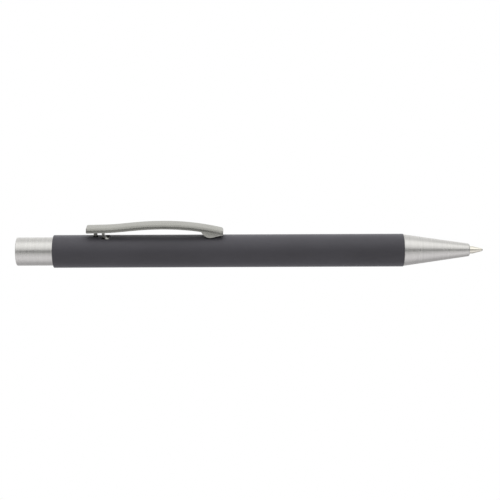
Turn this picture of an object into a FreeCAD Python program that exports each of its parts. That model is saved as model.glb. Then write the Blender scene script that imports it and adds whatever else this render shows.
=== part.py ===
import FreeCAD, Part
import math
import os
import Sketcher

# Retractable ballpoint pen. Millimetres.
# X runs along the pen from the button's rear face (0) to the writing tip, Z points up through the clip.
# The pen is drawn with its tip out, which is where every joint of it stands at zero.

doc = FreeCAD.newDocument("ballpoint_pen")

# ---------------------------------------------------------------- driving dimensions

DIMENSIONS = (
    ("barrel_length", 106.5),
    ("barrel_radius", 5.0),
    ("barrel_bore", 4.4),
    ("barrel_bevel", 0.25),
    ("button_exposed", 11.2),
    ("button_length", 22.0),
    ("button_radius", 4.3),
    ("button_wall", 0.5),
    ("button_face", 0.8),
    ("button_round", 0.4),
    ("nose_length", 20.2),
    ("nose_base", 4.86),
    ("nose_end", 1.9),
    ("nose_round", 0.45),
    ("nose_bevel", 0.2),
    ("shank_length", 7.2),
    ("shank_radius", 3.75),
    ("shank_relief", 3.5),
    ("relief_length", 0.8),
    ("thread_pitch", 0.75),
    ("thread_depth", 0.22),
    ("nose_bore", 3.1),
    ("nose_bore_depth", 6.6),
    ("spring_bore", 2.45),
    ("spring_seat_depth", 12.0),
    ("neck_bore", 1.65),
    ("point_bore", 1.23),
    ("point_bore_length", 2.0),
    ("bush_length", 8.0),
    ("bush_setback", 0.3),
    ("bush_bore", 3.82),
    ("press_gap", 0.02),
    ("stroke", 5.3),
    ("guide_rear", 23.4),
    ("guide_length", 28.3),
    ("collar_length", 6.7),
    ("collar_bore", 2.66),
    ("groove_radius", 3.75),
    ("groove_width", 1.6),
    ("rib_radius", 2.7),
    ("rib_length", 7.9),
    ("tooth_height", 1.0),
    ("seat_width", 2.2),
    ("guide_mouth", 6.0),
    ("guide_mouth_bore", 3.05),
    ("leg_recess_floor", 3.25),
    ("leg_recess_width", 3.6),
    ("leg_recess_end", 29.9),
    ("plunger_head_end", 20.6),
    ("plunger_head_bore", 2.9),
    ("plunger_head_wall", 1.6),
    ("plunger_radius", 2.6),
    ("plunger_bore", 1.68),
    ("plunger_bore_start", 29.0),
    ("plunger_setback", 0.1),
    ("crown_tooth_width", 1.2),
    ("ear_length", 1.2),
    ("ear_reach", 3.6),
    ("ear_width", 1.4),
    ("ear_stop_gap", 0.1),
    ("rotor_start", 32.0),
    ("rotor_stem_radius", 1.6),
    ("rotor_radius", 2.6),
    ("rotor_end", 43.9),
    ("fin_setback", 0.15),
    ("fin_length", 4.0),
    ("fin_rise", 0.5),
    ("fin_root", 1.2),
    ("refill_radius", 2.95),
    ("refill_wall", 0.25),
    ("crown_head", 3.0),
    ("crown_insert", 3.0),
    ("crown_vent", 0.5),
    ("notch_depth", 1.0),
    ("notch_width", 0.7),
    ("notch_floor", 2.2),
    ("shoulder_start", 121.2),
    ("shoulder_length", 0.6),
    ("neck_radius", 1.55),
    ("neck_inner", 1.17),
    ("neck_end", 134.2),
    ("point_radius", 1.15),
    ("point_rear", 130.2),
    ("point_channel", 0.3),
    ("point_out", 4.1),
    ("point_cylinder_out", 0.95),
    ("ball_radius", 0.4),
    ("socket_radius", 0.42),
    ("point_rim", 0.44),
    ("rim_setback", 0.28),
    ("ink_start", 62.0),
    ("follower_length", 3.5),
    ("spring_wire", 0.4),
    ("spring_mean", 2.12),
    ("spring_turns", 8.0),
    ("clip_start", 21.4),
    ("clip_end", 62.9),
    ("clip_width", 4.5),
    ("clip_thickness", 1.35),
    ("clip_rear_height", 8.01),
    ("clip_bend_station", 29.0),
    ("clip_bend_height", 8.13),
    ("clip_arc_station", 38.0),
    ("clip_crest_station", 45.0),
    ("clip_crest_height", 9.3),
    ("clip_crest_radius", 71.0),
    ("clip_corner_round", 0.8),
    ("clip_edge_round", 0.75),
    ("clip_lower_round", 0.15),
    ("pad_station", 59.0),
    ("pad_radius", 3.0),
    ("pad_bottom", 5.02),
    ("pad_rear_reach", 2.87),
    ("pad_front_reach", 3.7),
    ("pad_front_height", 5.8),
    ("pad_width", 4.1),
    ("rear_leg_start", 23.6),
    ("rear_leg_thickness", 1.1),
    ("rear_leg_width", 1.0),
    ("rear_leg_bottom", 3.85),
    ("hook_start", 26.2),
    ("hook_thickness", 0.6),
    ("hook_width", 3.2),
    ("hook_bend", 1.2),
    ("hook_toe_end", 29.6),
    ("hook_toe_top", 3.95),
    ("hook_slot_end", 28.6),
    ("slot_gap", 0.2),
    ("overcut", 1.0),
)

# How many of each repeated feature stand round the axis.
RIB_COUNT = 4
CROWN_TEETH = 8
CROWN_NOTCHES = 6

# Lengths and volumes closer than this are taken as equal.
TOLERANCE = 1e-4

sheet = doc.addObject("Spreadsheet::Sheet", "Dims")
for row, (alias, size) in enumerate(DIMENSIONS, start=1):
    sheet.set("A%d" % row, alias)
    sheet.set("B%d" % row, str(size))
    sheet.setAlias("B%d" % row, alias)
doc.recompute()

# Stations that follow from the driving dimensions.
STATIONS = {
    "barrel_rear": "button_exposed",
    "barrel_front": "button_exposed + barrel_length",
    "nose_front": "barrel_front + nose_length",
    "point_end": "nose_front + point_out",
    "ball_station": "point_end - ball_radius",
    "guide_front": "guide_rear + guide_length",
    "groove_start": "guide_rear + collar_length",
    "rib_tip": "groove_start + rib_length",
    "ear_start": "groove_start + stroke + ear_stop_gap",
    "plunger_front": "rib_tip - plunger_setback",
    "fin_start": "rib_tip + fin_setback",
    "fin_end": "fin_start + fin_length",
    "hub_start": "fin_start + tooth_height",
    "refill_start": "rotor_end + press_gap",
    "tube_start": "refill_start + crown_head",
    "crown_front": "tube_start + crown_insert",
    "refill_bore": "refill_radius - refill_wall",
    "neck_start": "shoulder_start + shoulder_length",
    "inner_shoulder": "shoulder_start - refill_wall",
    "inner_neck": "neck_start - refill_wall",
    "spring_rear": "neck_start + press_gap",
    "spring_seat": "barrel_front + spring_seat_depth",
    "hook_front": "hook_start + hook_thickness",
    "hook_bend_station": "hook_front + hook_bend",
    "hook_bend_height": "hook_toe_top + hook_bend",
}


def terms(text):
    """The terms of a sum such as 'a + b - c / 2', as (factor, word) with stations written out."""
    found = []
    for term in text.replace("- ", "+ -").split("+"):
        word, _, divisor = term.replace("-", "").partition("/")
        factor = (-1 if "-" in term else 1) / float(divisor or 1)
        if word.strip() in STATIONS:
            found += [(factor * inner, name) for inner, name in terms(STATIONS[word.strip()])]
        else:
            found.append((factor, word.strip()))
    return found


def expression(text):
    """A FreeCAD expression for a sum of dimension names and numbers."""
    parts = []
    for factor, word in terms(text):
        name = word if word[0].isdigit() else "Dims." + word
        parts.append("%+g * %s" % (factor, name))
    return " ".join(parts)


def value(text):
    """The same sum as a number, for the first guess of a sketch and to pick edges."""
    total = 0.0
    for factor, word in terms(text):
        total += factor * (float(word) if word[0].isdigit() else sheet.get(word))
    return total


# ---------------------------------------------------------------- building blocks

def new_body(name):
    body = doc.addObject("PartDesign::Body", name)
    body.Label = name
    return body


def origin_plane(body, role):
    return next(f for f in body.Origin.OriginFeatures if f.Role == role)


def new_sketch(body, name, role="XZ_Plane", offset=None):
    """A sketch on an origin plane of the body, lifted off it by a sum of dimensions if one is given."""
    sketch = body.newObject("Sketcher::SketchObject", name)
    sketch.AttachmentSupport = [(origin_plane(body, role), "")]
    sketch.MapMode = "FlatFace"
    if offset is not None:
        sketch.setExpression("AttachmentOffset.Base.z", expression(offset))
    return sketch


def hold(sketch, kind, edge, text, end=None):
    """Tie an edge's radius, or one end's distance from the sketch origin, to a sum of dimensions."""
    target = (edge,) if end is None else (-1, 1, edge, end)
    index = sketch.addConstraint(Sketcher.Constraint(kind, *target, value(text)))
    sketch.setExpression("Constraints[%d]" % index, expression(text))


def pin_point(sketch, edge, end, across, up):
    """Hold one end of an edge at a place given by two sums of dimensions."""
    hold(sketch, "DistanceX", edge, across, end)
    hold(sketch, "DistanceY", edge, up, end)


def closed_outline(sketch, corners):
    """A closed ring of straight lines through corners, each a pair of sums of dimensions."""
    points = [FreeCAD.Vector(value(across), value(up), 0) for across, up in corners]
    edges = []
    for start, end in zip(points, points[1:] + points[:1]):
        edges.append(sketch.addGeometry(Part.LineSegment(start, end), False))
    for before, after in zip(edges, edges[1:] + edges[:1]):
        sketch.addConstraint(Sketcher.Constraint("Coincident", before, 2, after, 1))
    for edge, (across, up) in zip(edges, corners):
        pin_point(sketch, edge, 1, across, up)


def turned(body, name, corners):
    """A solid turned about the pen's axis from an outline of (station, radius) corners."""
    sketch = new_sketch(body, name + "_sketch")
    closed_outline(sketch, corners)
    feature = body.newObject("PartDesign::Revolution", name)
    feature.Profile = sketch
    feature.ReferenceAxis = (sketch, ["H_Axis"])
    feature.Angle = 360
    sketch.Visibility = False
    doc.recompute()
    return feature


def slab(body, name, corners, width, kind="PartDesign::Pad"):
    """A pad or pocket of a side view, centred on the pen's middle plane."""
    sketch = new_sketch(body, name + "_sketch")
    closed_outline(sketch, corners)
    return spread(body, name, sketch, width, kind)


def spread(body, name, sketch, width, kind="PartDesign::Pad"):
    """Pad or pocket a side view to both sides of the pen's middle plane."""
    feature = body.newObject(kind, name)
    feature.Profile = sketch
    feature.setExpression("Length", expression(width))
    feature.Midplane = True
    sketch.Visibility = False
    doc.recompute()
    return feature


def rounded(body, name, base, radius, wanted):
    """Fillet the edges of base for which wanted(edge) is true."""
    edges = ["Edge%d" % i for i, edge in enumerate(base.Shape.Edges, start=1) if wanted(edge)]
    fillet = body.newObject("PartDesign::Fillet", name)
    fillet.Base = (base, edges)
    fillet.setExpression("Radius", expression(radius))
    doc.recompute()
    return fillet


def ring_at(station, radius):
    """True for a full circular edge of this radius at this station on the pen's axis."""
    def test(edge):
        curve = edge.Curve
        if not isinstance(curve, Part.Circle):
            return False
        off_station = abs(curve.Center.x - value(station))
        off_radius = abs(curve.Radius - value(radius))
        return max(off_station, off_radius) < TOLERANCE
    return test


def round_about_axis(body, name, feature, count):
    """Repeat a feature count times about the pen's axis."""
    pattern = body.newObject("PartDesign::PolarPattern", name)
    pattern.Originals = [feature]
    pattern.Axis = (origin_plane(body, "X_Axis"), [""])
    pattern.Angle = 360
    pattern.Occurrences = count
    body.Tip = pattern
    doc.recompute()
    return pattern


def cut_checked(body, feature, base_volume):
    """A pocket that points the wrong way removes nothing without a word, so turn it round if it did."""
    if body.Shape.Volume > base_volume - TOLERANCE:
        feature.Reversed = not feature.Reversed
        doc.recompute()
    if body.Shape.Volume > base_volume - TOLERANCE:
        raise ValueError(feature.Label + " cuts nothing")
    return feature


def tooth_cut(body, name, tip, width, count, turn, reach):
    """Cut sawtooth notches into the front end at tip, the first one turn degrees from the top."""
    sketch = new_sketch(body, name + "_sketch", "XY_Plane")
    rotation = FreeCAD.Rotation(FreeCAD.Vector(1, 0, 0), turn)
    sketch.AttachmentOffset = FreeCAD.Placement(FreeCAD.Vector(), rotation)
    # Half of the cut's triangle lies beyond the end, so its slope starts at full depth on one side.
    corners = [
        (tip + " + tooth_height", "0 - " + width),
        (tip + " + tooth_height", width),
        (tip + " - tooth_height", width),
    ]
    closed_outline(sketch, corners)
    volume = body.Shape.Volume
    pocket = body.newObject("PartDesign::Pocket", name)
    pocket.Profile = sketch
    pocket.setExpression("Length", expression(reach))
    sketch.Visibility = False
    doc.recompute()
    cut_checked(body, pocket, volume)
    return round_about_axis(body, name + "_ring", pocket, count)


# ---------------------------------------------------------------- the barrel and what is fixed in it

def leg_slot(body, name, start, end, width):
    """A slot through the top of the barrel wall, from start to end and a gap wider than its leg."""
    corners = [
        (start, "barrel_bore - overcut"),
        (end, "barrel_bore - overcut"),
        (end, "barrel_radius + overcut"),
        (start, "barrel_radius + overcut"),
    ]
    slab(body, name, corners, width + " + slot_gap + slot_gap", "PartDesign::Pocket")


def build_barrel_tube():
    body = new_body("barrel_tube")
    corners = [
        ("barrel_rear", "barrel_bore"),
        ("barrel_rear", "barrel_radius - barrel_bevel"),
        ("barrel_rear + barrel_bevel", "barrel_radius"),
        ("barrel_front - barrel_bevel", "barrel_radius"),
        ("barrel_front", "barrel_radius - barrel_bevel"),
        ("barrel_front", "barrel_bore"),
    ]
    turned(body, "barrel_wall_turned", corners)
    rear_leg_end = "rear_leg_start + rear_leg_thickness + slot_gap"
    leg_slot(body, "rear_leg_slot", "rear_leg_start - slot_gap", rear_leg_end, "rear_leg_width")
    leg_slot(body, "hook_slot", "hook_start - slot_gap", "hook_slot_end", "hook_width")


def build_thread_bush():
    body = new_body("thread_bush")
    corners = [
        ("barrel_front - bush_setback - bush_length", "bush_bore"),
        ("barrel_front - bush_setback - bush_length", "barrel_bore - press_gap"),
        ("barrel_front - bush_setback", "barrel_bore - press_gap"),
        ("barrel_front - bush_setback", "bush_bore"),
    ]
    turned(body, "bush_turned", corners)


def build_click_guide():
    """A sleeve with a plain collar, ribs with sawtooth front ends and a free chamber for the rotor."""
    body = new_body("click_guide")
    corners = [
        ("guide_rear", "collar_bore"),
        ("guide_rear", "barrel_bore - press_gap"),
        ("guide_front", "barrel_bore - press_gap"),
        ("guide_front", "guide_mouth_bore"),
        ("guide_front - guide_mouth", "guide_mouth_bore"),
        ("guide_front - guide_mouth", "groove_radius"),
        ("rib_tip", "groove_radius"),
        ("rib_tip", "rib_radius"),
        ("groove_start", "rib_radius"),
        ("groove_start", "collar_bore"),
    ]
    turned(body, "guide_turned", corners)
    recess = [
        ("guide_rear - overcut", "leg_recess_floor"),
        ("leg_recess_end", "leg_recess_floor"),
        ("leg_recess_end", "barrel_radius"),
        ("guide_rear - overcut", "barrel_radius"),
    ]
    slab(body, "leg_recess", recess, "leg_recess_width", "PartDesign::Pocket")
    groove = [
        ("groove_start", "0"),
        ("rib_tip + overcut", "0"),
        ("rib_tip + overcut", "groove_radius"),
        ("groove_start", "groove_radius"),
    ]
    first = slab(body, "groove", groove, "groove_width", "PartDesign::Pocket")
    round_about_axis(body, "grooves", first, RIB_COUNT)
    between_grooves = 180 / RIB_COUNT
    half_seat = "seat_width / 2"
    tooth_cut(body, "rib_seat", "rib_tip", half_seat, RIB_COUNT, between_grooves, "groove_radius")


# ---------------------------------------------------------------- the click mechanism

def build_push_button():
    body = new_body("push_button")
    corners = [
        ("0", "0"),
        ("0", "button_radius"),
        ("button_length", "button_radius"),
        ("button_length", "button_radius - button_wall"),
        ("button_face", "button_radius - button_wall"),
        ("button_face", "0"),
    ]
    cup = turned(body, "button_turned", corners)
    rounded(body, "button_edge", cup, "button_round", ring_at("0", "button_radius"))


def build_plunger():
    """A hollow head in the button, a stem through the guide's collar, ears and a toothed end."""
    body = new_body("plunger")
    head_radius = "button_radius - button_wall - press_gap"
    corners = [
        ("button_face + press_gap", "plunger_head_bore"),
        ("button_face + press_gap", head_radius),
        ("plunger_head_end", head_radius),
        ("plunger_head_end", "plunger_radius"),
        ("plunger_front", "plunger_radius"),
        ("plunger_front", "plunger_bore"),
        ("plunger_bore_start", "plunger_bore"),
        ("plunger_bore_start", "0"),
        ("plunger_head_end - plunger_head_wall", "0"),
        ("plunger_head_end - plunger_head_wall", "plunger_head_bore"),
    ]
    turned(body, "plunger_turned", corners)
    ear = [
        ("ear_start", "plunger_bore + press_gap"),
        ("ear_start + ear_length", "plunger_bore + press_gap"),
        ("ear_start + ear_length", "ear_reach"),
        ("ear_start", "ear_reach"),
    ]
    first = slab(body, "ear", ear, "ear_width")
    round_about_axis(body, "ears", first, RIB_COUNT)
    half_tooth = "crown_tooth_width / 2"
    tooth_cut(body, "crown_notch", "plunger_front", half_tooth, CROWN_TEETH, 0, "ear_reach")


def build_rotor():
    """A stem that turns in the plunger, fins with sloping rear ends and a hub that meets the refill."""
    body = new_body("rotor")
    corners = [
        ("rotor_start", "0"),
        ("rotor_start", "rotor_stem_radius"),
        ("hub_start", "rotor_stem_radius"),
        ("hub_start", "rotor_radius"),
        ("rotor_end", "rotor_radius"),
        ("rotor_end", "0"),
    ]
    turned(body, "rotor_turned", corners)
    sketch = new_sketch(body, "fin_sketch", "XY_Plane", "fin_root")
    outline = [
        ("fin_start", "0 - ear_width / 2"),
        ("fin_end", "0 - ear_width / 2"),
        ("fin_end", "ear_width / 2"),
        ("fin_start + fin_rise", "ear_width / 2"),
    ]
    closed_outline(sketch, outline)
    fin = body.newObject("PartDesign::Pad", "fin")
    fin.Profile = sketch
    fin.setExpression("Length", expression("ear_reach - fin_root"))
    sketch.Visibility = False
    doc.recompute()
    round_about_axis(body, "fins", fin, RIB_COUNT)


# ---------------------------------------------------------------- the nose

def build_nose_cone():
    body = new_body("nose_cone")
    corners = [
        ("barrel_front - shank_length", "nose_bore"),
        ("barrel_front - shank_length", "shank_radius"),
        ("barrel_front - relief_length", "shank_radius"),
        ("barrel_front - relief_length", "shank_relief"),
        ("barrel_front", "shank_relief"),
        ("barrel_front", "nose_base"),
        ("nose_front", "nose_end"),
        ("nose_front", "point_bore"),
        ("nose_front - point_bore_length", "point_bore"),
        ("nose_front - point_bore_length", "neck_bore"),
        ("spring_seat", "neck_bore"),
        ("spring_seat", "spring_bore"),
        ("barrel_front + nose_bore_depth", "spring_bore"),
        ("barrel_front + nose_bore_depth", "nose_bore"),
    ]
    cone = turned(body, "cone_turned", corners)
    base = rounded(body, "cone_base_edge", cone, "nose_bevel", ring_at("barrel_front", "nose_base"))
    rounded(body, "cone_front_edge", base, "nose_round", ring_at("nose_front", "nose_end"))
    groove = [
        ("barrel_front - shank_length - thread_pitch", "shank_radius - thread_depth"),
        ("barrel_front - shank_length - thread_pitch + thread_depth", "shank_radius + press_gap"),
        ("barrel_front - shank_length - thread_pitch - thread_depth", "shank_radius + press_gap"),
    ]
    sketch = new_sketch(body, "thread_sketch")
    closed_outline(sketch, groove)
    thread = body.newObject("PartDesign::SubtractiveHelix", "thread")
    thread.Profile = sketch
    thread.ReferenceAxis = (sketch, ["H_Axis"])
    thread.Mode = "pitch-height-angle"
    thread.setExpression("Pitch", expression("thread_pitch"))
    thread.setExpression("Height", expression("shank_length"))
    sketch.Visibility = False
    doc.recompute()


def build_return_spring():
    body = new_body("return_spring")
    sketch = new_sketch(body, "wire_sketch")
    first_turn = "spring_rear + spring_wire / 2"
    centre = FreeCAD.Vector(value(first_turn), value("spring_mean"), 0)
    circle = Part.Circle(centre, FreeCAD.Vector(0, 0, 1), value("spring_wire / 2"))
    wire = sketch.addGeometry(circle, False)
    hold(sketch, "Radius", wire, "spring_wire / 2")
    pin_point(sketch, wire, 3, first_turn, "spring_mean")
    coil = body.newObject("PartDesign::AdditiveHelix", "coil")
    coil.Profile = sketch
    coil.ReferenceAxis = (sketch, ["H_Axis"])
    coil.Mode = "height-turns-angle"
    coil.setExpression("Height", expression("spring_seat - press_gap - spring_wire - spring_rear"))
    coil.setExpression("Turns", expression("spring_turns"))
    sketch.Visibility = False
    doc.recompute()


# ---------------------------------------------------------------- the refill

def build_refill_crown():
    body = new_body("refill_crown")
    corners = [
        ("refill_start", "crown_vent"),
        ("refill_start", "refill_radius"),
        ("tube_start", "refill_radius"),
        ("tube_start", "refill_bore - press_gap"),
        ("crown_front", "refill_bore - press_gap"),
        ("crown_front", "crown_vent"),
    ]
    turned(body, "crown_turned", corners)
    notch = [
        ("refill_start - overcut", "notch_floor"),
        ("refill_start + notch_depth", "notch_floor"),
        ("refill_start + notch_depth", "refill_radius + overcut"),
        ("refill_start - overcut", "refill_radius + overcut"),
    ]
    first = slab(body, "notch", notch, "notch_width", "PartDesign::Pocket")
    round_about_axis(body, "notches", first, CROWN_NOTCHES)


def build_refill_tube():
    body = new_body("refill_tube")
    corners = [
        ("tube_start + press_gap", "refill_bore"),
        ("tube_start + press_gap", "refill_radius"),
        ("shoulder_start", "refill_radius"),
        ("neck_start", "neck_radius"),
        ("neck_end", "neck_radius"),
        ("neck_end", "neck_inner"),
        ("inner_neck", "neck_inner"),
        ("inner_shoulder", "refill_bore"),
    ]
    turned(body, "tube_turned", corners)


def build_refill_tip():
    body = new_body("refill_tip")
    corners = [
        ("point_rear", "point_channel"),
        ("point_rear", "point_radius"),
        ("nose_front + point_cylinder_out", "point_radius"),
        ("point_end - rim_setback", "point_rim"),
        ("point_end - rim_setback", "point_channel"),
    ]
    turned(body, "point_turned", corners)
    socket = body.newObject("PartDesign::SubtractiveSphere", "socket")
    socket.AttachmentSupport = [(origin_plane(body, "YZ_Plane"), "")]
    socket.MapMode = "FlatFace"
    socket.setExpression("AttachmentOffset.Base.z", expression("ball_station"))
    socket.setExpression("Radius", expression("socket_radius"))
    doc.recompute()


def build_tip_ball():
    ball = doc.addObject("Part::Sphere", "tip_ball")
    ball.Label = "tip_ball"
    ball.setExpression("Radius", expression("ball_radius"))
    ball.setExpression("Placement.Base.x", expression("ball_station"))
    doc.recompute()


def build_ink():
    """The ink fills the tube's bore and neck, and a plug of grease floats behind it."""
    column = new_body("ink_column")
    corners = [
        ("ink_start", "0"),
        ("ink_start", "refill_bore - press_gap"),
        ("inner_shoulder - press_gap", "refill_bore - press_gap"),
        ("inner_neck - press_gap", "neck_inner - press_gap"),
        ("point_rear - press_gap", "neck_inner - press_gap"),
        ("point_rear - press_gap", "0"),
    ]
    turned(column, "ink_turned", corners)
    follower = new_body("ink_follower")
    corners = [
        ("ink_start - press_gap - follower_length", "0"),
        ("ink_start - press_gap - follower_length", "refill_bore - press_gap"),
        ("ink_start - press_gap", "refill_bore - press_gap"),
        ("ink_start - press_gap", "0"),
    ]
    turned(follower, "follower_turned", corners)


# ---------------------------------------------------------------- the clip

def strip_outline(sketch):
    """The strip's side view: a flat rear, a straight ramp, then one long arc over to the free end."""
    centre_height = "clip_crest_height - clip_crest_radius"
    centre = FreeCAD.Vector(value("clip_crest_station"), value(centre_height), 0)
    rows = {}
    for row, drop in (("upper", "0"), ("lower", "clip_thickness")):
        radius = "clip_crest_radius - " + drop
        size = value(radius)
        rear = FreeCAD.Vector(value("clip_start"), value("clip_rear_height - " + drop), 0)
        bend = FreeCAD.Vector(value("clip_bend_station"), value("clip_bend_height - " + drop), 0)
        arc_ends = []
        for station in ("clip_arc_station", "clip_end"):
            run = value(station) - centre.x
            arc_ends.append(centre + FreeCAD.Vector(run, math.sqrt(size * size - run * run), 0))
        flat = sketch.addGeometry(Part.LineSegment(rear, bend), False)
        ramp = sketch.addGeometry(Part.LineSegment(bend, arc_ends[0]), False)
        circle = Part.Circle(centre, FreeCAD.Vector(0, 0, 1), size)
        first = math.atan2(arc_ends[1].y - centre.y, arc_ends[1].x - centre.x)
        last = math.atan2(arc_ends[0].y - centre.y, arc_ends[0].x - centre.x)
        arc = sketch.addGeometry(Part.ArcOfCircle(circle, first, last), False)
        sketch.addConstraint(Sketcher.Constraint("Coincident", flat, 2, ramp, 1))
        sketch.addConstraint(Sketcher.Constraint("Coincident", ramp, 2, arc, 2))
        pin_point(sketch, flat, 1, "clip_start", "clip_rear_height - " + drop)
        pin_point(sketch, ramp, 1, "clip_bend_station", "clip_bend_height - " + drop)
        pin_point(sketch, arc, 3, "clip_crest_station", centre_height)
        hold(sketch, "Radius", arc, radius)
        hold(sketch, "DistanceX", arc, "clip_arc_station", 2)
        hold(sketch, "DistanceX", arc, "clip_end", 1)
        rows[row] = (flat, arc)
    for end, index in ((1, 0), (1, 1)):
        start = sketch.getPoint(rows["upper"][index], end)
        stop = sketch.getPoint(rows["lower"][index], end)
        side = sketch.addGeometry(Part.LineSegment(start, stop), False)
        sketch.addConstraint(Sketcher.Constraint("Coincident", side, 1, rows["upper"][index], end))
        sketch.addConstraint(Sketcher.Constraint("Coincident", side, 2, rows["lower"][index], end))


def rim_edges(shape, side):
    """The edges where the strip's upper (side 1) or lower (side -1) faces meet its sides and ends."""
    broad = []
    for face in shape.Faces:
        across, along = face.Surface.parameter(face.CenterOfMass)
        if face.normalAt(across, along).z * side > 0.9:
            broad.append(face)
    return [e for e in shape.Edges if sum(any(e.isSame(o) for o in f.Edges) for f in broad) == 1]


# Where the pad's arc is first drawn to end, in degrees; its tangent run-out settles the true angle.
PAD_RUNOUT_GUESS = -78


def half_moon(sketch):
    """An arc that bulges down to the barrel and runs out straight to the strip's free end."""
    centre = FreeCAD.Vector(value("pad_station"), value("pad_bottom + pad_radius"), 0)
    radius = value("pad_radius")
    run = value("pad_rear_reach")
    first = math.atan2(-math.sqrt(radius * radius - run * run), -run)
    last = math.radians(PAD_RUNOUT_GUESS)
    circle = Part.Circle(centre, FreeCAD.Vector(0, 0, 1), radius)
    arc = sketch.addGeometry(Part.ArcOfCircle(circle, first, last), False)
    toe = FreeCAD.Vector(value("pad_station + pad_front_reach"), value("pad_front_height"), 0)
    inside = FreeCAD.Vector(toe.x, value("pad_front_height + clip_thickness / 2"), 0)
    runout = sketch.addGeometry(Part.LineSegment(sketch.getPoint(arc, 2), toe), False)
    rise = sketch.addGeometry(Part.LineSegment(toe, inside), False)
    chord = sketch.addGeometry(Part.LineSegment(inside, sketch.getPoint(arc, 1)), False)
    for before, after in ((runout, rise), (rise, chord)):
        sketch.addConstraint(Sketcher.Constraint("Coincident", before, 2, after, 1))
    sketch.addConstraint(Sketcher.Constraint("Coincident", chord, 2, arc, 1))
    sketch.addConstraint(Sketcher.Constraint("Tangent", arc, 2, runout, 1))
    pin_point(sketch, arc, 3, "pad_station", "pad_bottom + pad_radius")
    hold(sketch, "Radius", arc, "pad_radius")
    hold(sketch, "DistanceX", arc, "pad_station - pad_rear_reach", 1)
    front = "pad_station + pad_front_reach"
    pin_point(sketch, runout, 2, front, "pad_front_height")
    pin_point(sketch, rise, 2, front, "pad_front_height + clip_thickness / 2")


def hook_outline(sketch):
    """A J in side view: a leg down from the strip, a quarter bend and a toe that lies under the wall."""
    root = "clip_rear_height - clip_thickness / 2"
    outer_bend = "hook_bend + hook_thickness"
    centre = FreeCAD.Vector(value("hook_bend_station"), value("hook_bend_height"), 0)
    ends = {}
    for row, radius in (("outer", outer_bend), ("inner", "hook_bend")):
        size = value(radius)
        leg_top = FreeCAD.Vector(centre.x - size, value(root), 0)
        leg_foot = FreeCAD.Vector(centre.x - size, centre.y, 0)
        toe_root = FreeCAD.Vector(centre.x, centre.y - size, 0)
        toe_tip = FreeCAD.Vector(value("hook_toe_end"), centre.y - size, 0)
        leg = sketch.addGeometry(Part.LineSegment(leg_top, leg_foot), False)
        circle = Part.Circle(centre, FreeCAD.Vector(0, 0, 1), size)
        bend = sketch.addGeometry(Part.ArcOfCircle(circle, math.pi, 1.5 * math.pi), False)
        toe = sketch.addGeometry(Part.LineSegment(toe_root, toe_tip), False)
        sketch.addConstraint(Sketcher.Constraint("Coincident", leg, 2, bend, 1))
        sketch.addConstraint(Sketcher.Constraint("Coincident", bend, 2, toe, 1))
        sketch.addConstraint(Sketcher.Constraint("Vertical", leg))
        sketch.addConstraint(Sketcher.Constraint("Horizontal", toe))
        hold(sketch, "Radius", bend, radius)
        pin_point(sketch, bend, 3, "hook_bend_station", "hook_bend_height")
        hold(sketch, "DistanceX", bend, "hook_bend_station", 2)
        hold(sketch, "DistanceY", bend, "hook_bend_height", 1)
        hold(sketch, "DistanceY", leg, root, 1)
        hold(sketch, "DistanceX", toe, "hook_toe_end", 2)
        ends[row] = (leg, toe)
    for index, end in ((0, 1), (1, 2)):
        start = sketch.getPoint(ends["outer"][index], end)
        stop = sketch.getPoint(ends["inner"][index], end)
        side = sketch.addGeometry(Part.LineSegment(start, stop), False)
        sketch.addConstraint(Sketcher.Constraint("Coincident", side, 1, ends["outer"][index], end))
        sketch.addConstraint(Sketcher.Constraint("Coincident", side, 2, ends["inner"][index], end))


def build_clip():
    """A strip with a leg and a hook that drop through the barrel's slots and a pad at its free end."""
    body = new_body("clip")
    side_view = new_sketch(body, "strip_sketch")
    strip_outline(side_view)
    strip = spread(body, "strip", side_view, "clip_width")

    def upright_corner(edge):
        box = edge.BoundBox
        return box.XLength < 0.3 and box.YLength < 1e-6 and box.ZLength > 0.5

    base = rounded(body, "strip_corners", strip, "clip_corner_round", upright_corner)
    for name, side, radius in (("upper", 1, "clip_edge_round"), ("lower", -1, "clip_lower_round")):
        rim = rim_edges(base.Shape, side)
        base = rounded(body, name + "_rim", base, radius, lambda edge: any(edge.isSame(r) for r in rim))

    pad = new_sketch(body, "pad_sketch")
    half_moon(pad)
    spread(body, "pad", pad, "pad_width")
    hook = new_sketch(body, "hook_sketch")
    hook_outline(hook)
    spread(body, "hook", hook, "hook_width")
    root = "clip_rear_height - clip_thickness / 2"
    rear_leg = [
        ("rear_leg_start", "rear_leg_bottom"),
        ("rear_leg_start + rear_leg_thickness", "rear_leg_bottom"),
        ("rear_leg_start + rear_leg_thickness", root),
        ("rear_leg_start", root),
    ]
    slab(body, "rear_leg", rear_leg, "rear_leg_width")


# ---------------------------------------------------------------- build, check and write

BUILDERS = (
    build_barrel_tube,
    build_thread_bush,
    build_click_guide,
    build_push_button,
    build_plunger,
    build_rotor,
    build_nose_cone,
    build_return_spring,
    build_refill_crown,
    build_refill_tube,
    build_refill_tip,
    build_tip_ball,
    build_ink,
    build_clip,
)


def finished_parts():
    """The bodies and stand-alone solids, each of which is one piece of the pen."""
    return [o for o in doc.Objects if o.TypeId in ("PartDesign::Body", "Part::Sphere")]


def check_document():
    for item in doc.Objects:
        if "Invalid" in item.State or "Error" in item.State:
            raise ValueError(item.Label + " failed: " + ", ".join(item.State))
    for part in finished_parts():
        shape = part.Shape
        if shape.isNull() or not shape.isValid() or len(shape.Solids) != 1:
            raise ValueError(part.Label + " isn't one valid solid")


for build in BUILDERS:
    build()
doc.recompute()
check_document()

os.makedirs("parts", exist_ok=True)
for part in finished_parts():
    part.Shape.exportStep("parts/" + part.Label + ".step")
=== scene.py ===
import math

import bmesh
import bpy
from mathutils import Matrix, Vector


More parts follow.
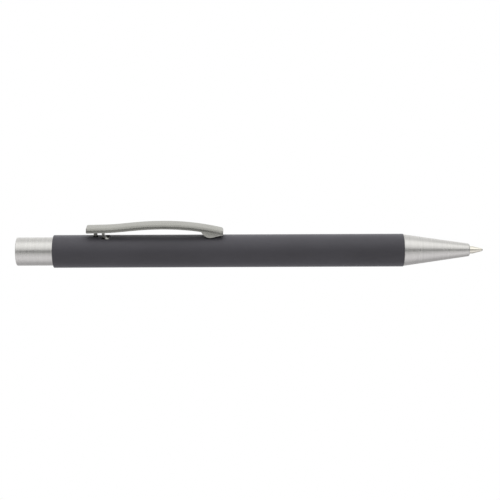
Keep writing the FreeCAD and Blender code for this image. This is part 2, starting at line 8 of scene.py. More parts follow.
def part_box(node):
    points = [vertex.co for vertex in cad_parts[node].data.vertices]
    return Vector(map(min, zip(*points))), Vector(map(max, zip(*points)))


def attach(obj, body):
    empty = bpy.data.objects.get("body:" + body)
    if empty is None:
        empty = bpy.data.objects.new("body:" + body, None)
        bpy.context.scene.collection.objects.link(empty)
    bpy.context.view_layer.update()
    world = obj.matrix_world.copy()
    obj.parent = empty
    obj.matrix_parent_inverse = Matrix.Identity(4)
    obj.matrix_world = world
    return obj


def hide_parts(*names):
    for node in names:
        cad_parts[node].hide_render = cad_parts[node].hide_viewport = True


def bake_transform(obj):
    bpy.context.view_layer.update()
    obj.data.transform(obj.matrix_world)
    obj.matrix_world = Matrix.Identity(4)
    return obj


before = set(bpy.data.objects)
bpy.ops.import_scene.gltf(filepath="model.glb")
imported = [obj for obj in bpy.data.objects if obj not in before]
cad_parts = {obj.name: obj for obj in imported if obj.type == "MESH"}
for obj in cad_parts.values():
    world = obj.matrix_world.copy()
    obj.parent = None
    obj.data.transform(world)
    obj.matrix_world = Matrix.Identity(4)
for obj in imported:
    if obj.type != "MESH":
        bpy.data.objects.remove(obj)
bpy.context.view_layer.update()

MM = 0.001

# ---------------------------------------------------------------- sizes read from the frame


def span(node):
    """(rear station, front station, outer radius) of a turned CAD node, from its box."""
    low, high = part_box(node)
    return low.x, high.x, high.y


BARREL_REAR, BARREL_FRONT, BARREL_RADIUS = span("barrel_tube")
BUTTON_REAR, BUTTON_FRONT, BUTTON_RADIUS = span("push_button")
SHANK_REAR, NOSE_FRONT, NOSE_RADIUS = span("nose_cone")
POINT_REAR, POINT_RIM, POINT_RADIUS = span("refill_tip")
BALL_REAR, BALL_FRONT, BALL_RADIUS = span("tip_ball")
CLIP_LOW, CLIP_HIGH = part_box("clip")
PRESS_GAP = 0.02 * MM
BARREL_BORE = span("thread_bush")[2] + PRESS_GAP

# ---------------------------------------------------------------- mesh helpers


def new_mesh_object(name, vertices, faces):
    mesh = bpy.data.meshes.new(name)
    mesh.from_pydata([tuple(v) for v in vertices], [], faces)
    mesh.validate()
    mesh.update()
    piece = bpy.data.objects.new(name, mesh)
    bpy.context.scene.collection.objects.link(piece)
    return piece


def soften(piece, angle=32):
    """Smooth shading, with a hard edge where two faces meet at more than angle degrees."""
    for face in piece.data.polygons:
        face.use_smooth = True
    piece.data.set_sharp_from_angle(angle=math.radians(angle))
    return piece


def bake(piece):
    """Replace a piece's mesh by its mesh with the modifiers applied."""
    depsgraph = bpy.context.evaluated_depsgraph_get()
    final = bpy.data.meshes.new_from_object(piece.evaluated_get(depsgraph))
    piece.modifiers.clear()
    piece.data = final
    return piece


def combine(piece, tools, operation):
    """Join or cut with each tool in turn, then drop the tools."""
    for tool in tools:
        change = piece.modifiers.new("combine", "BOOLEAN")
        change.operation = operation
        change.solver = "EXACT"
        change.object = tool
    bake(piece)
    for tool in tools:
        bpy.data.objects.remove(tool)
    return piece


def rounded_outline(corners, steps=6):
    """Points of a closed outline of (across, up, fillet) corners, each fillet drawn as an arc."""
    points = []
    count = len(corners)
    for index, (across, up, fillet) in enumerate(corners):
        here = Vector((across, up))
        if fillet <= 0:
            points.append(here)
            continue
        before = Vector(corners[index - 1][:2]) - here
        after = Vector(corners[(index + 1) % count][:2]) - here
        opening = before.angle(after)
        reach = fillet / math.tan(opening / 2)
        start = here + before.normalized() * reach
        end = here + after.normalized() * reach
        bisector = (before.normalized() + after.normalized()).normalized()
        centre = here + bisector * (fillet / math.sin(opening / 2))
        first = start - centre
        turn = first.angle_signed(end - centre)
        for step in range(steps + 1):
            points.append(centre + Matrix.Rotation(-turn * step / steps, 2) @ first)
    return points


def arc_points(centre, radius, first, last, steps):
    """Points along an arc in side view, from angle first to angle last."""
    angles = [first + (last - first) * step / steps for step in range(steps + 1)]
    return [(centre[0] + radius * math.cos(a), centre[1] + radius * math.sin(a)) for a in angles]


def lathe(name, corners, segments=144, shape=None):
    """A closed solid turned about the pen's axis from an outline of (station, radius, fillet) corners.

    shape(station, radius, angle) may return a changed radius, which is how a thread is cut.
    Corners of radius 0 lie on the axis and become one vertex each."""
    outline = rounded_outline(corners)
    vertices = []
    rings = []
    for station, radius in outline:
        if radius < 1e-9:
            rings.append([len(vertices)] * segments)
            vertices.append((station, 0, 0))
            continue
        ring = []
        for segment in range(segments):
            angle = 2 * math.pi * segment / segments
            size = shape(station, radius, angle) if shape else radius
            ring.append(len(vertices))
            vertices.append((station, size * math.cos(angle), size * math.sin(angle)))
        rings.append(ring)
    faces = []
    for ring, following in zip(rings, rings[1:] + rings[:1]):
        for segment in range(segments):
            beside = (segment + 1) % segments
            corner_loop = (ring[segment], ring[beside], following[beside], following[segment])
            distinct = list(dict.fromkeys(corner_loop))
            if len(distinct) > 2:
                faces.append(distinct)
    return soften(new_mesh_object(name, vertices, faces))


def prism(name, outline, half_width, bevel, lean=0.0):
    """A side view of (station, height) points spread to both sides of the middle plane, its rims rounded.

    lean narrows it toward the top, by this much width on each side for each unit of height."""
    count = len(outline)
    foot = min(z for x, z in outline)
    vertices = [(x, side * (half_width - lean * (z - foot)), z) for side in (-1, 1) for x, z in outline]
    faces = [list(range(count)), list(range(2 * count - 1, count - 1, -1))]
    for index in range(count):
        beside = (index + 1) % count
        faces.append([beside, index, index + count, beside + count])
    piece = new_mesh_object(name, vertices, faces)
    turn_faces_out(piece)
    if bevel > 0:
        rounding = piece.modifiers.new("rims", "BEVEL")
        rounding.width = bevel
        rounding.segments = 4
        rounding.limit_method = "ANGLE"
        rounding.angle_limit = math.radians(50)
        bake(piece)
    return piece


def turn_faces_out(piece):
    shell = bmesh.new()
    shell.from_mesh(piece.data)
    bmesh.ops.recalc_face_normals(shell, faces=shell.faces)
    shell.to_mesh(piece.data)
    shell.free()
    return piece


def finish_piece(piece, node, body, material):
    """Put a piece in its CAD node's place: on the given body, with its own procedural material, and hide the
    CAD node.
    """
    piece.data.materials.clear()
    piece.data.materials.append(material)
    if body is not None:
        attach(piece, body)
    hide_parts(node)
    return piece


# ---------------------------------------------------------------- material helpers


class Nodes:
    """A node tree that starts empty, with helpers that add and join its nodes."""

    def __init__(self, tree):
        self.tree = tree
        self.tree.nodes.clear()

    def add(self, kind, inputs=None, **settings):
        node = self.tree.nodes.new(kind)
        for key, setting in settings.items():
            setattr(node, key, setting)
        for key, setting in (inputs or {}).items():
            node.inputs[key].default_value = setting
        return node

    def join(self, source, output, target, socket):
        self.tree.links.new(source.outputs[output], target.inputs[socket])

    def math(self, operation, first, second):
        """A math node; each operand is a number or a (node, output) pair."""
        node = self.add("ShaderNodeMath", operation=operation)
        for index, operand in enumerate((first, second)):
            if isinstance(operand, tuple):
                self.join(*operand, node, index)
            else:
                node.inputs[index].default_value = operand
        return node, "Value"

    def split_by_camera(self, lighting, seen):
        """A shader that the camera's own rays see as seen, and all other rays as lighting."""
        path = self.add("ShaderNodeLightPath")
        choice = self.add("ShaderNodeMixShader")
        self.join(path, "Is Camera Ray", choice, "Fac")
        self.join(*lighting, choice, 1)
        self.join(*seen, choice, 2)
        return choice, "Shader"

    def levels(self, position, stops, tint=(1, 1, 1)):
        """Levels of one tint along a position, eased from each (position, level) stop to the next."""
        low = stops[0][0]
        high = stops[-1][0]
        share = self.add("ShaderNodeMapRange", {"From Min": low, "From Max": high})
        self.join(*position, share, "Value")
        ramp = self.add("ShaderNodeValToRGB")
        self.join(share, "Result", ramp, "Fac")
        elements = ramp.color_ramp.elements
        while len(elements) < len(stops):
            elements.new(0.5)
        for element, (place, level) in zip(elements, stops):
            element.position = (place - low) / (high - low)
            element.color = (*(level * part for part in tint), 1)
        ramp.color_ramp.interpolation = "EASE"
        return ramp, "Color"

    def mix_colours(self, blend_type, first, second, factor=None):
        """Blend two colours, each a plain colour or a (node, output) pair; fully if no factor is given."""
        mix = self.add("ShaderNodeMix", data_type="RGBA", blend_type=blend_type)
        if factor is None:
            mix.inputs["Factor"].default_value = 1.0
        else:
            self.join(*factor, mix, "Factor")
        for socket, operand in (("A", first), ("B", second)):
            if hasattr(operand[0], "outputs"):
                self.join(*operand, mix, socket)
            else:
                mix.inputs[socket].default_value = (*operand, 1)
        return mix, next(index for index, s in enumerate(mix.outputs) if s.type == "RGBA")


class Shader(Nodes):
    """A material with one Principled surface."""

    def __init__(self, name):
        self.material = bpy.data.materials.new(name)
        self.material.use_nodes = True
        super().__init__(self.material.node_tree)
        self.colour = None
        self.surface = self.add("ShaderNodeBsdfPrincipled")
        self.output = self.add("ShaderNodeOutputMaterial")
        self.join(self.surface, "BSDF", self.output, "Surface")
        self.place = self.add("ShaderNodeTexCoord")

    def noise(self, size, stretch=(1, 1, 1), detail=3.0):
        """Noise in the row frame with grains about size metres across, divided by stretch on each axis."""
        scaling = self.add("ShaderNodeMapping", {"Scale": [factor / size for factor in stretch]})
        self.join(self.place, "Object", scaling, "Vector")
        texture = self.add("ShaderNodeTexNoise", {"Scale": 1.0, "Detail": detail, "Roughness": 0.5})
        self.join(scaling, "Vector", texture, "Vector")
        return texture, "Fac"

    def spread(self, source, low, high):
        """Map a 0 to 1 pattern onto low to high, with its middle part stretched to fill the range."""
        ends = {"From Min": 0.3, "From Max": 0.7, "To Min": low, "To Max": high}
        mapping = self.add("ShaderNodeMapRange", ends)
        self.join(*source, mapping, "Value")
        return mapping, "Result"

    def blend_colours(self, source, first, second):
        """Colour the surface from first to second as the pattern goes from 0 to 1."""
        self.colour = self.mix_colours("MIX", first, second, source)
        self.feed(self.colour, "Base Color")

    def relief(self, source, height, before=None):
        """A bump of this height in metres, added to an earlier bump if one is given."""
        bump = self.add("ShaderNodeBump", {"Strength": 1.0, "Distance": height})
        self.join(*source, bump, "Height")
        if before is not None:
            self.join(before, "Normal", bump, "Normal")
        self.join(bump, "Normal", self.surface, "Normal")
        return bump

    def set(self, **values):
        for key, setting in values.items():
            self.surface.inputs[key.replace("_", " ")].default_value = setting

    def feed(self, source, socket):
        self.join(*source, self.surface, socket)


def soft_touch(name, colour):
    """Matt rubbery lacquer: fine orange-peel grain, a broad weak sheen and faint handling marks."""
    shader = Shader(name)
    darker = tuple(c * 0.9 for c in colour)
    lighter = tuple(c * 1.08 for c in colour)
    shader.blend_colours(shader.spread(shader.noise(9 * MM, (0.4, 1, 1)), 0, 1), darker, lighter)
    shader.feed(shader.spread(shader.noise(2.5 * MM), 0.50, 0.60), "Roughness")
    grain = shader.relief(shader.noise(0.09 * MM, detail=2.0), 0.004 * MM)
    shader.relief(shader.noise(0.9 * MM, detail=1.0), 0.004 * MM, grain)
    shader.set(Specular_IOR_Level=0.30, Sheen_Weight=0.36, Sheen_Roughness=0.50)
    shader.set(Sheen_Tint=(0.85, 0.87, 0.95, 1))
    return shader.material


def turned_metal(name, colour, roughness, groove=0.12 * MM, depth=0.0012 * MM):
    """Metal finished on a lathe: fine rings round the axis, which stretch its highlights along the pen."""
    shader = Shader(name)
    darker = tuple(c * 0.9 for c in colour)
    shader.blend_colours(shader.spread(shader.noise(groove * 3, (1, 0.02, 0.02)), 0, 1), darker, colour)
    bands = shader.noise(groove * 6, (1, 0.05, 0.05))
    shader.feed(shader.spread(bands, roughness * 0.85, roughness * 1.15), "Roughness")
    rings = shader.relief(shader.noise(groove, (1, 0.01, 0.01), detail=4.0), depth)
    shader.relief(shader.noise(0.5 * MM, detail=2.0), depth * 0.6, rings)
    shader.set(Metallic=1.0, Anisotropic=0.35)
    tangent = shader.add("ShaderNodeTangent", direction_type="RADIAL", axis="X")
    shader.join(tangent, "Tangent", shader.surface, "Tangent")
    return shader.material


def tumbled_metal(name, colour, roughness):
    """Stamped, barrel-polished and plated metal: lengthwise drawing lines under a soft satin grain."""
    shader = Shader(name)
    darker = tuple(c * 0.88 for c in colour)
    shader.blend_colours(shader.spread(shader.noise(1.2 * MM, (0.08, 1, 1)), 0, 1), darker, colour)
    streaks = shader.noise(0.6 * MM, (0.2, 1, 1))
    shader.feed(shader.spread(streaks, roughness * 0.85, roughness * 1.15), "Roughness")
    lines = shader.relief(shader.noise(0.06 * MM, (0.03, 1, 1), detail=2.0), 0.0010 * MM)
    shader.relief(shader.noise(0.35 * MM, (0.3, 1, 1), detail=2.0), 0.0007 * MM, lines)
    shader.set(Metallic=1.0)
    return shader


def paint_leg_shade(shader, legs_end, stops):
    """Darken the metal behind station legs_end by (height, level) stops: painted shade, where the clip above
    and the barrel below shade the legs.
    """
    split = shader.add("ShaderNodeSeparateXYZ")
    shader.join(shader.place, "Object", split, "Vector")
    painted_shade = shader.levels((split, "Z"), stops)
    behind = shader.math("LESS_THAN", (split, "X"), legs_end)
    shader.feed(shader.mix_colours("MULTIPLY", shader.colour, painted_shade, behind), "Base Color")
    return shader.material


def drawn_wire(name, colour):
    """Bright drawn wire or tube with thin lengthwise die lines and slight tarnish."""
    shader = Shader(name)
    tarnish = (colour[0] * 0.75, colour[1] * 0.72, colour[2] * 0.66)
    shader.blend_colours(shader.spread(shader.noise(1.5 * MM), 0, 1), tarnish, colour)
    shader.feed(shader.spread(shader.noise(0.3 * MM), 0.18, 0.32), "Roughness")
    shader.relief(shader.noise(0.05 * MM, (0.2, 1, 1)), 0.0012 * MM)
    shader.set(Metallic=1.0)
    return shader.material


def moulded_plastic(name, colour, roughness):
    """Injection moulded plastic: a slight mould texture and flow variation in tone."""
    shader = Shader(name)
    darker = tuple(c * 0.86 for c in colour)
    shader.blend_colours(shader.spread(shader.noise(2.2 * MM, (0.5, 1, 1)), 0, 1), darker, colour)
    shader.feed(shader.spread(shader.noise(0.8 * MM), roughness * 0.8, roughness * 1.2), "Roughness")
    shader.relief(shader.noise(0.12 * MM, detail=2.0), 0.004 * MM)
    shader.set(IOR=1.48)
    return shader.material


def paste(name, colour, roughness):
    """A thick wet fill, such as ink or grease: deep colour, wet shine and slow waves at the wall."""
    shader = Shader(name)
    lighter = tuple(min(1, c * 1.5 + 0.01) for c in colour)
    shader.blend_colours(shader.spread(shader.noise(1.8 * MM), 0, 1), colour, lighter)
    shader.feed(shader.spread(shader.noise(1.1 * MM), roughness * 0.7, roughness * 1.4), "Roughness")
    shader.relief(shader.noise(1.4 * MM, detail=1.0), 0.02 * MM)
    shader.set(Coat_Weight=0.5, Coat_Roughness=0.08)
    return shader.material


SOFT_GREY = soft_touch("soft_touch_grey", (0.0485, 0.0468, 0.0555))
SATIN_SILVER = turned_metal("satin_silver", (0.66, 0.655, 0.645), 0.30)
LEGS_END = 31 * MM
# Painted shade on the clip's legs: (height, level) stops, darkest just above the barrel, full colour at the
# toe and near the strip.
LEG_SHADE_STOPS = (
    (4.4 * MM, 1.0), (4.7 * MM, 0.35), (5.3 * MM, 0.22), (6.0 * MM, 0.30), (6.6 * MM, 0.6), (6.9 * MM, 1.0),
)
SATIN_NICKEL = paint_leg_shade(tumbled_metal("satin_nickel", (0.45, 0.45, 0.425), 0.27), LEGS_END, LEG_SHADE_STOPS)
BRASS = turned_metal("turned_brass", (0.72, 0.53, 0.24), 0.25)
NICKEL_SILVER = turned_metal("nickel_silver", (0.84, 0.815, 0.735), 0.12, 0.07 * MM, 0.0006 * MM)
SPRING_STEEL = drawn_wire("spring_steel", (0.56, 0.56, 0.57))
REFILL_STEEL = turned_metal("refill_steel", (0.58, 0.58, 0.57), 0.24)
CARBIDE = drawn_wire("ground_carbide", (0.10, 0.10, 0.105))
WHITE_ACETAL = moulded_plastic("white_acetal", (0.78, 0.78, 0.74), 0.42)
BLACK_ACETAL = moulded_plastic("black_acetal", (0.022, 0.022, 0.024), 0.38)
BLUE_ACETAL = moulded_plastic("blue_acetal", (0.035, 0.10, 0.30), 0.36)
PLUG_PLASTIC = moulded_plastic("plug_plastic", (0.03, 0.03, 0.033), 0.30)
INK = paste("ballpoint_ink", (0.006, 0.010, 0.075), 0.12)
GREASE = paste("follower_grease", (0.62, 0.55, 0.33), 0.20)

# ---------------------------------------------------------------- barrel

SLOT_GAP = 0.2 * MM
REAR_LEG = (23.6 * MM, 24.7 * MM)
REAR_LEG_WIDTH = 1.0 * MM
HOOK_START = 26.2 * MM
HOOK_THICKNESS = 0.6 * MM
HOOK_SLOT_END = 28.4 * MM
HOOK_SLOT_WIDTH = 3.6 * MM
SLOT_END_ROUND = 0.35 * MM
BARREL_RIM_ROUND = 0.2 * MM
BORE_RIM_ROUND = 0.12 * MM
CUT_BELOW_BORE = 1.2 * MM
CUT_ABOVE_WALL = 1.0 * MM


def slot_tool(name, start, end, width):
    """A block with rounded ends, seen from above, that cuts one slot through the top of the barrel wall."""
    half_width = width / 2
    plan = rounded_outline([
        (start, -half_width, SLOT_END_ROUND),
        (end, -half_width, SLOT_END_ROUND),
        (end, half_width, SLOT_END_ROUND),
        (start, half_width, SLOT_END_ROUND),
    ])
    low = BARREL_BORE - CUT_BELOW_BORE
    high = BARREL_RADIUS + CUT_ABOVE_WALL
    count = len(plan)
    vertices = [(x, y, z) for z in (low, high) for x, y in plan]
    faces = [list(range(count - 1, -1, -1)), list(range(count, 2 * count))]
    for index in range(count):
        beside = (index + 1) % count
        faces.append([index, beside, beside + count, index + count])
    return turn_faces_out(new_mesh_object(name, vertices, faces))


def build_barrel():
    corners = [
        (BARREL_REAR, BARREL_BORE, BORE_RIM_ROUND),
        (BARREL_REAR, BARREL_RADIUS, BARREL_RIM_ROUND),
        (BARREL_FRONT, BARREL_RADIUS, BARREL_RIM_ROUND),
        (BARREL_FRONT, BARREL_BORE, BORE_RIM_ROUND),
    ]
    barrel = turn_faces_out(lathe("barrel", corners, 192))
    rear_end = REAR_LEG[1] + SLOT_GAP
    rear_slot = slot_tool("rear_slot", REAR_LEG[0] - SLOT_GAP, rear_end, REAR_LEG_WIDTH + 2 * SLOT_GAP)
    hook_slot = slot_tool("hook_slot", HOOK_START - SLOT_GAP, HOOK_SLOT_END, HOOK_SLOT_WIDTH)
    combine(barrel, [rear_slot, hook_slot], "DIFFERENCE")
    soften(barrel)
    finish_piece(barrel, "barrel_tube", "barrel", SOFT_GREY)


# ---------------------------------------------------------------- button and nose

BUTTON_WALL = 0.5 * MM
BUTTON_FACE = 0.8 * MM
BUTTON_REAR_ROUND = 0.22 * MM
BUTTON_FRONT_ROUND = 0.1 * MM
BUTTON_INSIDE_ROUND = 0.15 * MM


def build_button():
    inner = BUTTON_RADIUS - BUTTON_WALL
    corners = [
        (BUTTON_REAR, 0, 0),
        (BUTTON_REAR, BUTTON_RADIUS, BUTTON_REAR_ROUND),
        (BUTTON_FRONT, BUTTON_RADIUS, BUTTON_FRONT_ROUND),
        (BUTTON_FRONT, inner, BUTTON_FRONT_ROUND),
        (BUTTON_REAR + BUTTON_FACE, inner, BUTTON_INSIDE_ROUND),
        (BUTTON_REAR + BUTTON_FACE, 0, 0),
    ]
    finish_piece(turn_faces_out(lathe("button_cap", corners)), "push_button", "button", SATIN_SILVER)


THREAD_PITCH = 0.75 * MM
THREAD_DEPTH = 0.22 * MM
SHANK_RADIUS = 3.75 * MM
SHANK_RELIEF = 3.5 * MM
SHANK_BORE = 3.1 * MM
RELIEF_LENGTH = 0.8 * MM
SPRING_BORE = 2.45 * MM
NECK_BORE = 1.65 * MM
NOSE_HOLE = 1.23 * MM
NOSE_HOLE_LENGTH = 2.0 * MM
NOSE_FRONT_RADIUS = 1.9 * MM
SPRING_STEP = BARREL_FRONT + 12.0 * MM
SHANK_STEP = BARREL_FRONT + 6.6 * MM
NOSE_EDGE_ROUND = 0.08 * MM
NOSE_FRONT_ROUND = 0.5 * MM


def threaded(station, radius, angle):
    """The shank's radius with a right-handed V thread cut into it, fading out at both ends of the thread."""
    if abs(radius - SHANK_RADIUS) > 1e-6:
        return radius
    phase = (station - SHANK_REAR) / THREAD_PITCH - angle / (2 * math.pi)
    valley = 1 - abs((phase % 1.0) * 2 - 1)
    start = min(1.0, (station - SHANK_REAR) / THREAD_PITCH)
    end = min(1.0, (BARREL_FRONT - RELIEF_LENGTH - station) / (0.5 * THREAD_PITCH))
    return radius - THREAD_DEPTH * max(0.0, valley * 1.25 - 0.25) * max(0.0, min(start, end))


def build_nose():
    steps_per_turn = 12
    thread_length = BARREL_FRONT - RELIEF_LENGTH - SHANK_REAR
    steps = round(steps_per_turn * thread_length / THREAD_PITCH)
    crest = [(SHANK_REAR + thread_length * i / steps, SHANK_RADIUS, 0) for i in range(steps + 1)]
    corners = [
        (SHANK_REAR, SHANK_BORE, 0),
        *crest,
        (BARREL_FRONT - RELIEF_LENGTH, SHANK_RELIEF, 0),
        (BARREL_FRONT, SHANK_RELIEF, 0),
        (BARREL_FRONT, NOSE_RADIUS, NOSE_EDGE_ROUND),
        (NOSE_FRONT, NOSE_FRONT_RADIUS, NOSE_FRONT_ROUND),
        (NOSE_FRONT, NOSE_HOLE, NOSE_EDGE_ROUND),
        (NOSE_FRONT - NOSE_HOLE_LENGTH, NOSE_HOLE, 0),
        (NOSE_FRONT - NOSE_HOLE_LENGTH, NECK_BORE, 0),
        (SPRING_STEP, NECK_BORE, 0),
        (SPRING_STEP, SPRING_BORE, 0),
        (SHANK_STEP, SPRING_BORE, 0),
        (SHANK_STEP, SHANK_BORE, 0),
    ]
    nose = turn_faces_out(lathe("nose", corners, 144, threaded))
    finish_piece(nose, "nose_cone", "nose", SATIN_SILVER)


# ---------------------------------------------------------------- writing point and spring

BALL_GAP = 0.02 * MM
INK_CHANNEL = 0.3 * MM
POINT_REAR_ROUND = 0.1 * MM
POINT_CONE_START = NOSE_FRONT + 0.95 * MM
POINT_CONE_ROUND = 0.5 * MM
POINT_RIM_RADIUS = 0.44 * MM
POINT_RIM_ROUND = 0.015 * MM


def build_point():
    """The writing point with its ball's socket, and the ball."""
    ball_centre = (BALL_REAR + BALL_FRONT) / 2
    socket = BALL_RADIUS + BALL_GAP
    mouth = math.sqrt(socket ** 2 - (POINT_RIM - ball_centre) ** 2)
    arc_start = math.asin(mouth / socket)
    arc_end = math.pi - math.asin(INK_CHANNEL / socket)
    arc = [(x, radius, 0) for x, radius in arc_points((ball_centre, 0), socket, arc_start, arc_end, 12)]
    corners = [
        (POINT_REAR, INK_CHANNEL, 0),
        (POINT_REAR, POINT_RADIUS, POINT_REAR_ROUND),
        (POINT_CONE_START, POINT_RADIUS, POINT_CONE_ROUND),
        (POINT_RIM, POINT_RIM_RADIUS, POINT_RIM_ROUND),
        *arc,
    ]
    point = turn_faces_out(lathe("writing_point", corners, 96))
    finish_piece(point, "refill_tip", "refill", NICKEL_SILVER)

    rings = 24
    profile = []
    for step in range(rings + 1):
        angle = math.pi * step / rings
        radius = BALL_RADIUS * math.sin(angle) if 0 < step < rings else 0
        profile.append((ball_centre - BALL_RADIUS * math.cos(angle), radius, 0))
    finish_piece(turn_faces_out(lathe("writing_ball", profile, 48)), "tip_ball", "ball", CARBIDE)


SPRING_WIRE = 0.4 * MM
SPRING_MEAN_RADIUS = 2.12 * MM
SPRING_TURNS = 9
CLOSED_PITCH = 1.05 * SPRING_WIRE


def build_spring():
    """A coil of round wire whose first and last turns are wound closed."""
    stations = [v.co.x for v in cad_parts["return_spring"].data.vertices]
    rear = min(stations) + SPRING_WIRE / 2
    front = max(stations) - SPRING_WIRE / 2
    pitch = (front - rear - 2 * CLOSED_PITCH) / (SPRING_TURNS - 2)
    steps_per_turn = 48
    sides = 14
    vertices = []
    faces = []
    count = SPRING_TURNS * steps_per_turn
    for step in range(count + 1):
        turn = step / steps_per_turn
        open_turns = min(max(turn - 1, 0), SPRING_TURNS - 2)
        closed_turns = min(turn, 1) + max(turn - (SPRING_TURNS - 1), 0)
        station = rear + CLOSED_PITCH * closed_turns + pitch * open_turns
        angle = 2 * math.pi * turn
        outward = Vector((0, math.cos(angle), math.sin(angle)))
        for side in range(sides):
            around = 2 * math.pi * side / sides
            along = station + math.sin(around) * SPRING_WIRE / 2
            distance = SPRING_MEAN_RADIUS + math.cos(around) * SPRING_WIRE / 2
            vertices.append(Vector((along, 0, 0)) + outward * distance)
    for step in range(count):
        for side in range(sides):
            beside = (side + 1) % sides
            here = step * sides
            faces.append([here + side, here + beside, here + sides + beside, here + sides + side])
    faces.append(list(range(sides)))
    faces.append(list(range(count * sides, (count + 1) * sides)))
    spring = soften(turn_faces_out(new_mesh_object("coil_spring", vertices, faces)), 50)
    finish_piece(spring, "return_spring", None, SPRING_STEEL)
    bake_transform(spring)


# ---------------------------------------------------------------- clip

CLIP_THICKNESS = 1.43 * MM
CLIP_BEND = (29.0 * MM, 8.19 * MM)
CLIP_REAR_HEIGHT = 8.04 * MM
CLIP_RAMP_END = 38.0 * MM
CLIP_CREST = 45.0 * MM
CLIP_REAR_ARC = 105.0 * MM
CLIP_FRONT_ARC = 71.0 * MM
CLIP_CORNER = 0.6 * MM
CLIP_END_ROUND = 0.45 * MM
CLIP_BEND_EASE = 2.2 * MM
CLIP_SECTION = (
    (2.20 * MM, 0.0, 0.08 * MM),
    (1.90 * MM, 0.80 * MM, 0.12 * MM),
    (1.56 * MM, CLIP_THICKNESS, 0.12 * MM),
)


def arc_height(station):
    """The strip's top beside its crest, which is bent more tightly on the front side."""
    radius = CLIP_REAR_ARC if station < CLIP_CREST else CLIP_FRONT_ARC
    return CLIP_HIGH.z - radius + math.sqrt(radius ** 2 - (station - CLIP_CREST) ** 2)


def drawn_height(station):
    """The top of the clip's strip as straight stretches and one arc, before its bends are eased."""
    if station >= CLIP_RAMP_END:
        return arc_height(station)
    if station >= CLIP_BEND[0]:
        share = (station - CLIP_BEND[0]) / (CLIP_RAMP_END - CLIP_BEND[0])
        return CLIP_BEND[1] + share * (arc_height(CLIP_RAMP_END) - CLIP_BEND[1])
    share = (station - CLIP_LOW.x) / (CLIP_BEND[0] - CLIP_LOW.x)
    return CLIP_REAR_HEIGHT + share * (CLIP_BEND[1] - CLIP_REAR_HEIGHT)


def top_height(station):
    """The strip's top with its bends eased over a few millimetres."""
    samples = [drawn_height(station + CLIP_BEND_EASE * step / 4) for step in range(-4, 5)]
    return sum(samples) / len(samples)


def round_in(distance, radius):
    """How far a rounded corner pulls an edge in, at a distance from the end."""
    if distance >= radius:
        return 0
    return radius - math.sqrt(max(0, radius ** 2 - (radius - distance) ** 2))


def strip_section(station):
    """The strip's section at a station: flat underside, steep sides, sloping shoulders and flat top."""
    edge = min(station - CLIP_LOW.x, CLIP_HIGH.x - station)
    pulled_in = round_in(edge, CLIP_CORNER)
    thickness = CLIP_THICKNESS - round_in(edge, CLIP_END_ROUND)
    low = top_height(station) - CLIP_THICKNESS
    squeeze = thickness / CLIP_THICKNESS
    half = [(across - pulled_in, low + up * squeeze, fillet * squeeze) for across, up, fillet in CLIP_SECTION]
    other_half = [(-across, height, fillet) for across, height, fillet in reversed(half)]
    return [(station, y, z) for y, z in rounded_outline(half + other_half, 5)]


def strip_stations():
    """Stations along the strip, close together where its ends round off."""
    ends = [CLIP_CORNER * (1 - math.cos(math.pi / 2 * step / 8)) for step in range(9)]
    steps = 90
    first = CLIP_LOW.x + CLIP_CORNER
    last = CLIP_HIGH.x - CLIP_CORNER
    middle = [first + (last - first) * step / steps for step in range(1, steps)]
    return [CLIP_LOW.x + d for d in ends] + middle + [CLIP_HIGH.x - d for d in reversed(ends)]


def build_strip():
    rings = [strip_section(station) for station in strip_stations()]
    count = len(rings[0])
    vertices = [point for ring in rings for point in ring]
    faces = [list(range(count)), list(range((len(rings) - 1) * count, len(rings) * count))]
    for ring in range(len(rings) - 1):
        for index in range(count):
            beside = (index + 1) % count
            here = ring * count
            faces.append([here + index, here + beside, here + count + beside, here + count + index])
    return turn_faces_out(new_mesh_object("clip_spring", vertices, faces))


PAD_STATION = 59.0 * MM
PAD_RADIUS = 3.0 * MM
PAD_REAR = 56.13 * MM
PAD_FRONT = 62.7 * MM
PAD_FRONT_HEIGHT = 5.8 * MM
PAD_HALF_WIDTH = 2.2 * MM
PAD_LEAN = 0.30
PAD_GAP = 0.02 * MM
CLIP_RIM_BEVEL = 0.12 * MM


def build_pad():
    """The half-moon pad: an arc down to the barrel that runs out straight to the clip's free end."""
    bottom = BARREL_RADIUS + PAD_GAP
    centre = Vector((PAD_STATION, bottom + PAD_RADIUS))
    toe = Vector((PAD_FRONT, PAD_FRONT_HEIGHT))
    away = toe - centre
    tangent_turn = math.acos(PAD_RADIUS / away.length)
    last = math.atan2(away.y, away.x) - tangent_turn
    first = math.pi + math.asin((centre.y - top_height(PAD_REAR) + CLIP_THICKNESS * 0.8) / PAD_RADIUS)
    outline = [
        *arc_points(centre, PAD_RADIUS, first, last + 2 * math.pi, 28),
        (toe.x, toe.y),
        (toe.x, top_height(toe.x) - CLIP_THICKNESS * 0.4),
    ]
    return prism("pad", outline, PAD_HALF_WIDTH, CLIP_RIM_BEVEL, PAD_LEAN)


LEG_FOOT = 3.85 * MM
LEG_LEAN = 0.05
TOE_TOP = 4.05 * MM
TOE_END = 29.6 * MM
TOE_WIDTH = 2.4 * MM
HOOK_BEND = 1.6 * MM


